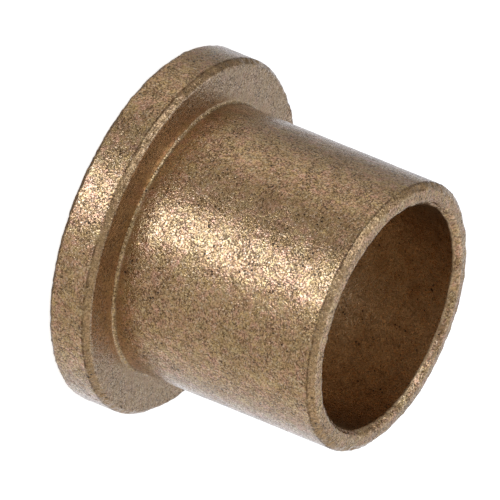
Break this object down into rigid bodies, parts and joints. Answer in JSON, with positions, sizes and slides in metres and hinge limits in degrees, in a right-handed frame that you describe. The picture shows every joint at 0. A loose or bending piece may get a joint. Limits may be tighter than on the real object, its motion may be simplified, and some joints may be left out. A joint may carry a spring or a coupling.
{
  "type": "flanged sleeve bushing",
  "caption": "Flanged sleeve bushing in sintered bronze: a thin-walled plain bearing with a thrust flange at one end, pressed into a housing to carry a rotating or sliding shaft.",
  "frame": {"origin": "on the bore axis, in the flange's outer (thrust) face", "axes": "+Z along the bore axis, from the flange to the open end of the sleeve; X and Y are any two radii, because the part is round"},
  "size_m": [0.0252, 0.0252, 0.0191],
  "materials": {
    "sintered_bronze": "satin, finely speckled and porous, oil-impregnated"
  },
  "bodies": {
    "root": {"flanged_bushing": "sintered_bronze"}
  },
  "joints": []
}
